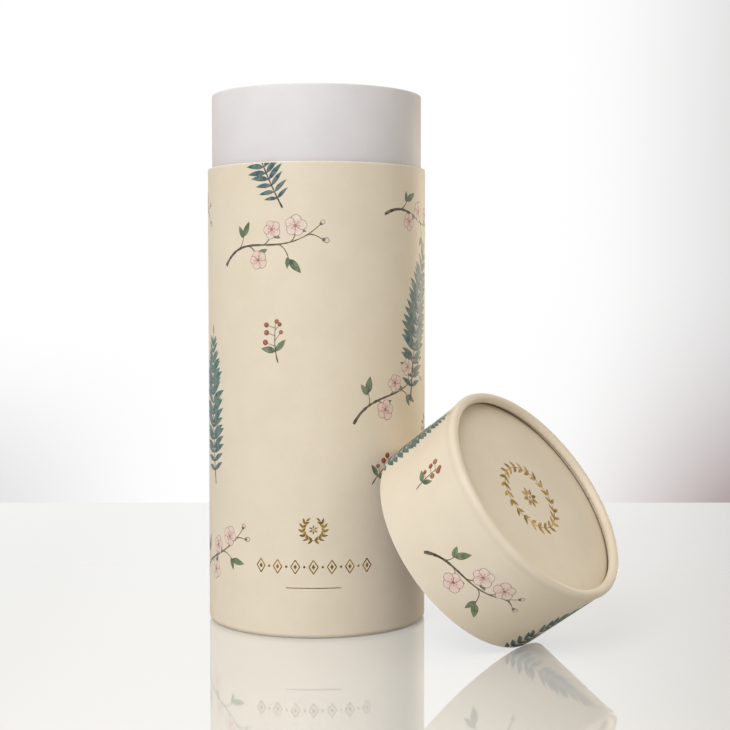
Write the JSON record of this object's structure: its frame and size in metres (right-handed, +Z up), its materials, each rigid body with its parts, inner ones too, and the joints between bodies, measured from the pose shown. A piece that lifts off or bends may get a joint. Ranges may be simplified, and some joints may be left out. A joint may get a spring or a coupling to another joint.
{
  "type": "cylindrical gift tube box",
  "caption": "Tall round board gift tube in printed paper with rolled rims, a white inner neck and a lift-off lid that leans on the body.",
  "frame": {"origin": "centre of the ring that the body stands on, on the floor", "axes": "+Z up along the tube's axis; -Y is the front that the picture shows; the lid leans to the right and front"},
  "size_m": [0.1641, 0.1437, 0.216],
  "materials": {
    "printed_paper": "matte",
    "white_card": "matte",
    "greyboard": "matte",
    "white_board": "matte"
  },
  "bodies": {
    "tube": {"body_wrap": "printed_paper", "body_tube": "greyboard", "base_label": "printed_paper", "base_disc": "greyboard", "neck_sleeve": "white_card", "neck_tube": "greyboard", "neck_liner": "white_card", "floor_pad": "white_board"},
    "lid": {"lid_wrap": "printed_paper", "lid_tube": "greyboard", "lid_liner": "white_card", "lid_disc": "greyboard", "lid_label": "printed_paper", "lid_ceiling": "white_card"}
  },
  "joints": [
    {"name": "lid_lift", "type": "slide", "parent": "tube", "child": "lid", "axis": [0, 0, 1], "range_m": [0, 0.28]}
  ]
}
